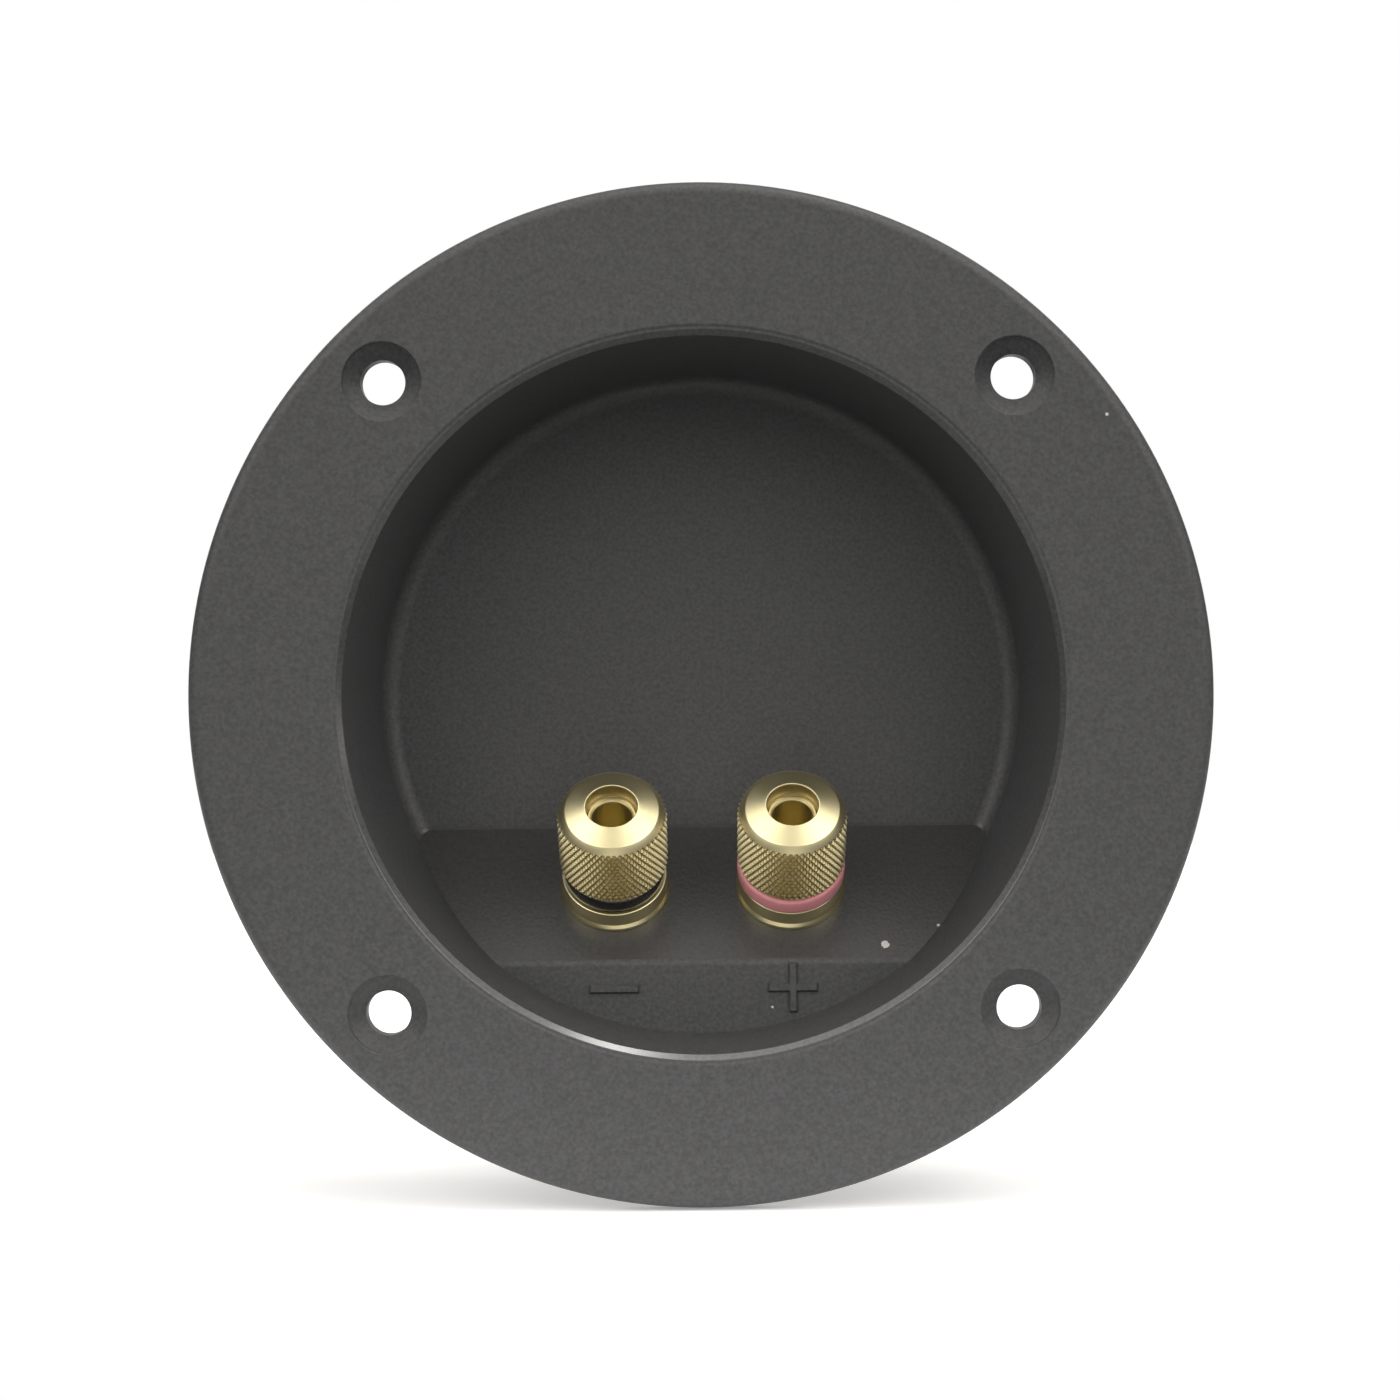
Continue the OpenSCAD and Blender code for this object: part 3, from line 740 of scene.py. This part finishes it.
def tag_blank(name):
    """Mesh of the stamped blank, flat, with its lower face at z = 0."""
    side_turn = math.degrees(math.acos(TAIL_HALF / TAG_R))
    outline = arc((0, 0), TAG_R, 180 - side_turn, 360 + side_turn, TAG_STEPS)
    outline += arc((0, eye_y), TAIL_HALF, 0, 180, EYE_STEPS)
    curve = bpy.data.curves.new(name, "CURVE")
    curve.dimensions, curve.fill_mode = "2D", "BOTH"
    curve.extrude, curve.bevel_depth, curve.bevel_resolution = TAG_T / 2 - TAG_EDGE, TAG_EDGE, 1
    curve.offset = -TAG_EDGE
    holes = [circle((0, 0), TAG_HOLE_R, TAG_STEPS), circle((0, eye_y), EYE_R, EYE_STEPS)]
    for loop in [outline] + holes:
        spline = curve.splines.new("POLY")
        spline.points.add(len(loop) - 1)
        for point, (x, y) in zip(spline.points, loop):
            point.co = (x, y, 0, 1)
        spline.use_cyclic_u = True
    shape = place(name + "_curve", curve)
    mesh = evaluated(shape)
    bpy.data.objects.remove(shape)
    mesh.transform(Matrix.Translation((0, 0, TAG_T / 2)))
    return mesh


print("length of the flat blank in mm:", round(TAG_R + tail_end, 2))

# %% Bend the tags
BEND_CUTS = 7
WELD = 1e-4


def wrap(spot):
    """Carries a point of the flat blank round the bend, away from the shelf."""
    x, y, z = spot
    if y <= bend_start:
        return x, y, z
    swing = min((y - bend_start) / BEND_R, BEND)
    past = max(y - tail_start, 0.0)
    reach = BEND_R + z
    return (x, bend_start + reach * math.sin(swing) + past * math.cos(swing),
            reach * math.cos(swing) - BEND_R - past * math.sin(swing))


for side in SIDES:
    mesh = tag_blank(f"{side}_tag")
    made = bmesh.new()
    made.from_mesh(mesh)
    bmesh.ops.remove_doubles(made, verts=made.verts, dist=WELD)
    for y in np.linspace(bend_start, tail_start, BEND_CUTS):
        everything = made.verts[:] + made.edges[:] + made.faces[:]
        bmesh.ops.bisect_plane(made, geom=everything, plane_co=(0, y, 0), plane_no=(0, 1, 0))
    for vert in made.verts:
        vert.co = wrap(vert.co)
    bmesh.ops.translate(made, verts=made.verts, vec=(0, 0, TAG_LOW))
    bmesh.ops.recalc_face_normals(made, faces=made.faces)
    made.to_mesh(mesh)
    made.free()
    tag = place(f"{side}_bent_tag", mesh)
    settle(tag, post_drawing(side), "terminal_cup", "tinned_brass", f"{side}_solder_tag")

# %% [markdown]
# ## Shader maths that reads like Python
#
# A finish is a small sum of noises and masks. Clicking it together from Math nodes hides the sum, so a
# class wraps a node's output and gives it Python's own signs: `1 - mask` adds a Math node and returns
# its output. One method adds every other kind of node. Colours are mixed with a Mix node, because a
# Math node would turn them grey.

# %% A wire between nodes
class Wire:
    """One output of a shader node."""

    def __init__(self, tree, socket=None):
        self.tree, self.socket = tree, socket

    def add(self, kind, settings=None, sockets=None, out=0):
        """Adds a node: first its settings, then the values or wires of its sockets."""
        node = self.tree.nodes.new(kind)
        for name, value in (settings or {}).items():
            setattr(node, name, value)
        for name, value in (sockets or {}).items():
            if isinstance(value, Wire):
                self.tree.links.new(value.socket, node.inputs[name])
            else:
                node.inputs[name].default_value = value
        return Wire(self.tree, node.outputs[out] if node.outputs else None)

    def math(self, operation, first, second):
        return self.add("ShaderNodeMath", {"operation": operation}, {0: first, 1: second})

    def __add__(self, other):
        return self.math("ADD", self, other)

    def __radd__(self, other):
        return self.math("ADD", other, self)

    def __sub__(self, other):
        return self.math("SUBTRACT", self, other)

    def __rsub__(self, other):
        return self.math("SUBTRACT", other, self)

    def __mul__(self, other):
        return self.math("MULTIPLY", self, other)

    def __rmul__(self, other):
        return self.math("MULTIPLY", other, self)

    def __pow__(self, other):
        return self.math("POWER", self, other)

    def __lt__(self, other):
        return self.math("LESS_THAN", self, other)

    def __gt__(self, other):
        return self.math("GREATER_THAN", self, other)

    def most(self, other):
        return self.math("MAXIMUM", self, other)

    def mix(self, first, second):
        """A colour between two, with this wire as the share of the second."""
        return self.add("ShaderNodeMix", {"data_type": "RGBA"}, {0: self, 6: first, 7: second}, out=2)

    def axes(self):
        """The three numbers of a vector."""
        x = self.add("ShaderNodeSeparateXYZ", {}, {0: self})
        return [Wire(self.tree, socket) for socket in x.socket.node.outputs]

    def noise(self, scale, detail=2.0):
        return self.add("ShaderNodeTexNoise", {}, {"Vector": self, "Scale": scale, "Detail": detail})

    def bump(self, height, strength):
        """A normal from this wire, whose range stands for a height in millimetres."""
        sockets = {"Height": self, "Distance": 0.001 * height, "Strength": strength}
        return self.add("ShaderNodeBump", {}, sockets)


# %% Give a finish to a slot
def finish(slot, constants, varying):
    """A material for all pieces of a slot. Constants sit on the shader, and the rest comes by wire."""
    material = bpy.data.materials.new(slot)
    material.use_nodes = True
    tree = material.node_tree
    shader = tree.nodes["Principled BSDF"]
    for name, value in constants.items():
        shader.inputs[name].default_value = value
    spot = Wire(tree).add("ShaderNodeAttribute", {"attribute_name": "drawing"}, out="Vector")
    for name, wire in varying(spot).items():
        tree.links.new(wire.socket, shader.inputs[name])
    for piece in wearing[slot]:
        piece.data.materials.clear()
        piece.data.materials.append(material)
    print(f"{slot}: {len(tree.nodes)} nodes on {len(wearing[slot])} pieces")


print("slots that wait for a finish:", ", ".join(wearing))

# %% [markdown]
# ## Spark-grained plastic
#
# The mould of such a cup is spark eroded, which leaves a fine, even grain of a few tenths of a
# millimetre. It scatters light, so the black plastic looks grey, and it sparkles a little. Noise at that
# scale drives a bump and a slight change of colour. A second, large noise makes the sheen uneven. The
# shelf under the posts is smoother, and its colour is darkened as painted shade. The chamfer of the
# mouth is rubbed shiny, most of all at its foot. A few flecks of dust lie on the cup, as on any part
# that has been handled.

# %% Masks for dust, shelf and chamfer
DUST = [(18.4, -25.4, -8.27, 0.42), (23.9, -23.6, -9.78, 0.16), (14.4, 29.2, -18.0, 0.14),
        (39.7, 26.9, 4.0, 0.16), (6.9, -31.5, -7.0, 0.13)]
SHELF_NEAR = 0.3


def dust(spot):
    """1 on flecks with uneven edges, each given by its place and size."""
    wobble = spot.noise(6.0)
    fleck = None
    for x, y, z, size in DUST:
        ends = {0: spot, 1: (x, y, z)}
        far = spot.add("ShaderNodeVectorMath", {"operation": "DISTANCE"}, ends, out="Value")
        mask = far + (wobble - 0.5) * size < size
        fleck = mask if fleck is None else fleck.most(mask)
    return fleck


def on_shelf(y, z):
    """1 on the front of the slanted shelf."""
    slope = math.tan(SHELF_ANGLE)
    off_shelf = z + y * slope - (FLOOR_Z + SHELF_TOP_Y * slope)
    in_front = (z < LEDGE_Z - SHELF_NEAR) * (z > FLOOR_Z - SHELF_NEAR)
    return (off_shelf * off_shelf < SHELF_NEAR ** 2) * in_front


def rubbed_lip(x, y, z):
    """From 0 at the top of the mouth's chamfer to 1 at its foot, and 0 elsewhere."""
    radius = (x * x + y * y) ** 0.5
    on_chamfer = (radius < MOUTH_R + LIP_CHAMFER) * (z > chamfer_z - LIP_BREAK)
    return on_chamfer * (0.5 - y * (0.5 / MOUTH_R))


print("flecks of dust:", len(DUST))

# %% Finish the cup
GRAIN_DARK, GRAIN_LIGHT = (0.040, 0.040, 0.041, 1), (0.070, 0.070, 0.072, 1)
# Painted shade: the shelf's colour is darkened towards this tone.
SHELF_PAINTED_SHADE = (0.040, 0.038, 0.038, 1)
DUST_TONE = (0.55, 0.53, 0.5, 1)
GRAIN_CONTRAST = 2.4


def plastic(spot):
    grain = spot.noise(2.6, 3.0)
    patches = spot.noise(0.05)
    x, y, z = spot.axes()
    shelf, rubbed = on_shelf(y, z), rubbed_lip(x, y, z)
    shade = (grain - 0.5) * GRAIN_CONTRAST + 0.5
    # On the shelf the colour is mixed halfway to a darker tone, as painted shade.
    colour = (shelf * 0.5).mix(shade.mix(GRAIN_DARK, GRAIN_LIGHT), SHELF_PAINTED_SHADE)
    return {
        "Base Color": dust(spot).mix(colour, DUST_TONE),
        "Roughness": 0.48 + patches * 0.12 - shelf * 0.2 - rubbed * 0.25,
        "Coat Weight": rubbed,
        "Normal": (grain * (1 - rubbed * 0.9)).bump(0.05, 0.55),
    }


finish("cup_plastic", {"IOR": 1.5, "Coat Roughness": 0.12}, plastic)

# %% [markdown]
# ## Gold plate
#
# The posts and knobs are brass with a thin, pale gold plating. Turning leaves very fine rings, so one
# noise is stretched along the radius and the height: it makes a tiny bump and an uneven roughness. The
# grooves of the knurl and the bore are duller, and their colour is darkened browner as painted shade.

# %% Finish the posts, knobs and nuts
GOLD_DEEP, GOLD_PALE = (0.80, 0.69, 0.38, 1), (0.87, 0.79, 0.49, 1)
# Painted shade: the knurl's grooves and the bore are darkened towards this tone.
GROOVE_PAINTED_SHADE = (0.36, 0.27, 0.12, 1)
LINES_PER_MM = 9.0


def gold(spot):
    x, y, z = spot.axes()
    radius = (x * x + y * y) ** 0.5
    stretched = {"X": radius * LINES_PER_MM, "Y": z * LINES_PER_MM}
    lines = spot.add("ShaderNodeCombineXYZ", {}, stretched).noise(1.0, 3.0)
    groove = spot.add("ShaderNodeAttribute", {"attribute_name": "groove"}, out="Fac")
    plate = spot.noise(0.5).mix(GOLD_DEEP, GOLD_PALE)
    return {
        # The groove attribute darkens the colour in the grooves and the bore as painted shade.
        "Base Color": (groove * 0.55).mix(plate, GROOVE_PAINTED_SHADE),
        "Roughness": 0.28 + lines * 0.12 + groove * 0.1,
        "Normal": lines.bump(0.003, 0.3),
    }


finish("gold_plate", {"Metallic": 1.0}, gold)

# %% [markdown]
# ## Ring plastics
#
# The two colour rings are smooth, glossy mouldings. Handling leaves them with faint, uneven haze, so
# their roughness follows a noise, and a light coat keeps the highlights clear. The red one is soft and a
# little milky.

# %% Finish the colour rings
BLACK_DEEP, BLACK_WORN = (0.010, 0.009, 0.008, 1), (0.018, 0.016, 0.015, 1)
RED_DEEP, RED_MILKY = (0.62, 0.22, 0.24, 1), (0.74, 0.31, 0.33, 1)


def ring_plastic(dark, light, rough):
    """A recipe for a glossy plastic between two tones."""
    def recipe(spot):
        haze = spot.noise(1.3, 4.0)
        return {
            "Base Color": haze.mix(dark, light),
            "Roughness": rough + haze * 0.12,
            "Normal": spot.noise(9.0).bump(0.004, 0.2),
        }
    return recipe


finish("black_ring", {"Coat Weight": 0.3}, ring_plastic(BLACK_DEEP, BLACK_WORN, 0.2))
finish("red_ring", {"Coat Weight": 0.2}, ring_plastic(RED_DEEP, RED_MILKY, 0.26))

# %% [markdown]
# ## Zinc and tin
#
# Zinc plate is satin and slightly blue, with cloudy patches. Tinned brass is warmer and shows fine
# wiping marks, so its noise is stretched along the tag.

# %% Finish the washers and tags
ZINC_BLUE, ZINC_PALE = (0.52, 0.55, 0.60, 1), (0.70, 0.71, 0.71, 1)
TIN_WARM, TIN_PALE = (0.62, 0.60, 0.55, 1), (0.78, 0.77, 0.74, 1)
WIPED = (6.0, 0.6, 1.0)


def zinc(spot):
    cloud = spot.noise(0.9, 4.0)
    speck = spot.noise(7.0)
    return {
        "Base Color": cloud.mix(ZINC_BLUE, ZINC_PALE),
        "Roughness": 0.28 + speck * 0.2,
        "Normal": speck.bump(0.01, 0.25),
    }


def tin(spot):
    wiped = spot.add("ShaderNodeVectorMath", {"operation": "MULTIPLY"}, {0: spot, 1: WIPED})
    marks = wiped.noise(1.4, 4.0)
    cloud = spot.noise(0.7)
    return {
        "Base Color": cloud.mix(TIN_WARM, TIN_PALE),
        "Roughness": 0.2 + marks * 0.25,
        "Normal": marks.bump(0.006, 0.25),
    }


finish("zinc_plate", {"Metallic": 1.0}, zinc)
finish("tinned_brass", {"Metallic": 1.0}, tin)

# %% [markdown]
# ## Studio
#
# The photograph has a white ground and broad soft light from both sides and from above, and little from
# the camera's own place, so the cup's top and depth stay dark. Area lamps could stand there, but large
# ones close by make noise in so deep a cup. So the world itself glows. The floor is a pale disc that
# begins just in front of the part, because more of it there would light the cup from below. The view is
# set to Standard, because a filmic curve would turn the white ground grey.

# %% Floor
FLOOR_RINGS = (0.4, 0.2, 0.1, 0)
FLOOR_BACK = 0.36
FLOOR_GAP = 0.0002
FLOOR_STEPS = 96

scene = bpy.context.scene
scene.view_settings.view_transform = "Standard"
floor_z = cad_box[0].z - FLOOR_GAP
floor_points, floor_faces = skin(rings([(r, floor_z) for r in FLOOR_RINGS], FLOOR_STEPS))
floor = new_object("pale_floor", floor_points + [0, FLOOR_BACK, 0], floor_faces)
paper = bpy.data.materials.new("pale_paper")
paper.use_nodes = True
sheet = paper.node_tree.nodes["Principled BSDF"]
sheet.inputs["Base Color"].default_value = (0.92, 0.92, 0.92, 1)
sheet.inputs["Roughness"].default_value = 0.9
sheet.inputs["Emission Color"].default_value = (1, 1, 1, 1)
sheet.inputs["Emission Strength"].default_value = 0.25
floor.data.materials.append(paper)
print("front edge of the floor in mm:", round(1000 * (FLOOR_BACK - FLOOR_RINGS[0])))

# %% [markdown]
# The world is white where the camera sees it. For every other ray it is a sum of lobes: the cosine to a
# lobe's direction, to a power. A low power makes a broad, soft light, and most lobes come in pairs, left
# and right. Two have a high power and are as narrow as lamps: they give the metal its clear highlights.

# %% World light
SOFT, LAMP = 16, 150
LIGHT_TONE = (1, 0.98, 0.95, 1)
LOBES = [((0.45, -0.82, 0.33), 1.5, SOFT), ((0.57, -0.64, 0.52), 2.5, SOFT),
         ((0.68, -0.42, 0.60), 1.2, SOFT), ((0.45, -0.06, 0.89), 1.2, SOFT),
         ((0.35, 0.85, 0.40), 2.0, SOFT)]
LOBES += [((-x, y, z), strength, power) for (x, y, z), strength, power in LOBES]
LOBES += [((0.0, -0.92, -0.38), 0.8, SOFT), ((0.0, -0.14, 0.99), 2.0, SOFT),
          ((0.25, -0.06, 0.97), 11.0, LAMP), ((0.99, -0.03, 0.12), 3.0, LAMP)]

scene.world = bpy.data.worlds.new("studio")
scene.world.use_nodes = True
scene.world.node_tree.nodes.clear()
sky = Wire(scene.world.node_tree)
way = sky.add("ShaderNodeTexCoord", out="Generated")
glow = None
for direction, strength, power in LOBES:
    sockets = {0: way, 1: Vector(direction).normalized()}
    cosine = way.add("ShaderNodeVectorMath", {"operation": "DOT_PRODUCT"}, sockets, out="Value")
    lobe = cosine.most(0.0) ** power * strength
    glow = lobe if glow is None else glow + lobe
shed = sky.add("ShaderNodeBackground", {}, {"Color": LIGHT_TONE, "Strength": glow})
seen = sky.add("ShaderNodeBackground", {}, {"Color": (1, 1, 1, 1), "Strength": 1.0})
by_camera = sky.add("ShaderNodeLightPath", out="Is Camera Ray")
light = sky.add("ShaderNodeMixShader", {}, {0: by_camera, 1: shed, 2: seen})
sky.add("ShaderNodeOutputWorld", {}, {"Surface": light})
print("lobes of light:", len(LOBES))

# %% [markdown]
# ## Camera
#
# The photograph looks straight into the cup from about 300 mm, and the part is turned in it by about
# half a degree. With a 36 mm sensor, the lens follows from the size of the flange in the picture.

# %% Camera
SENSOR, LENS = 36.0, 79.4
CAMERA_AT = (-0.0001, -0.304, -0.0005)
ROLL = math.radians(-0.55)

camera = place("camera", bpy.data.cameras.new("camera"))
camera.data.sensor_width = SENSOR
camera.data.lens = LENS
camera.data.clip_start = 0.01
camera.location = CAMERA_AT
level = Matrix.Rotation(math.pi / 2, 3, "X")
camera.rotation_euler = (level @ Matrix.Rotation(ROLL, 3, "Z")).to_euler()
scene.camera = camera
print("camera distance in mm:", round(-1000 * CAMERA_AT[1]))
